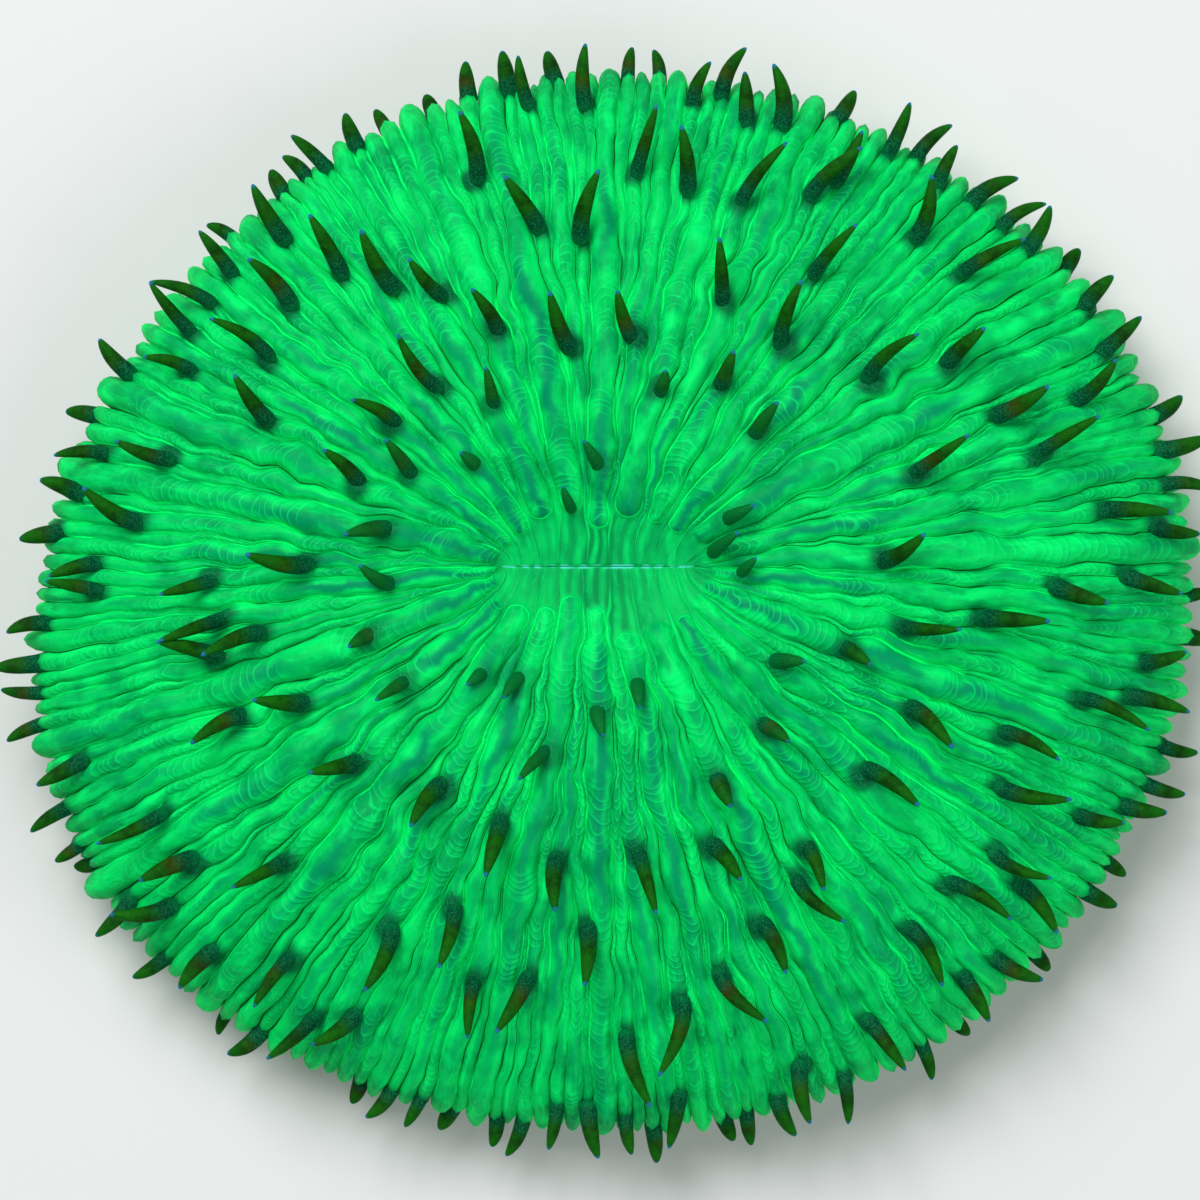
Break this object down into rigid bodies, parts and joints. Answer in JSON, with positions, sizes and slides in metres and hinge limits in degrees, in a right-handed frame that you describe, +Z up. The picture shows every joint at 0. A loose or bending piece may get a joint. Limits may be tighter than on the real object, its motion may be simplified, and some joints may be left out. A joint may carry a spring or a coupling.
{
  "type": "mushroom coral",
  "caption": "Low domed disc of a solitary coral polyp, with radiating fleshy lobes, a slit mouth and rings of short horn-shaped tentacles, resting on a flat underside.",
  "frame": {"origin": "middle of the flat underside, below the middle of the outline", "axes": "+Z up out of the mouth side; +X along the mouth's slit and the disc's longest width"},
  "size_m": [0.0594, 0.0543, 0.0131],
  "materials": {
    "flesh": "moist satin flesh, fluorescent green, with teal lobes and fine bright wrinkles",
    "tentacle": "moist satin flesh, dark olive, with a red-brown patch and a blue tip",
    "underside": "matt, chalky, with faint radial ribs"
  },
  "bodies": {
    "root": {"mushroom_coral": "flesh"}
  },
  "joints": []
}
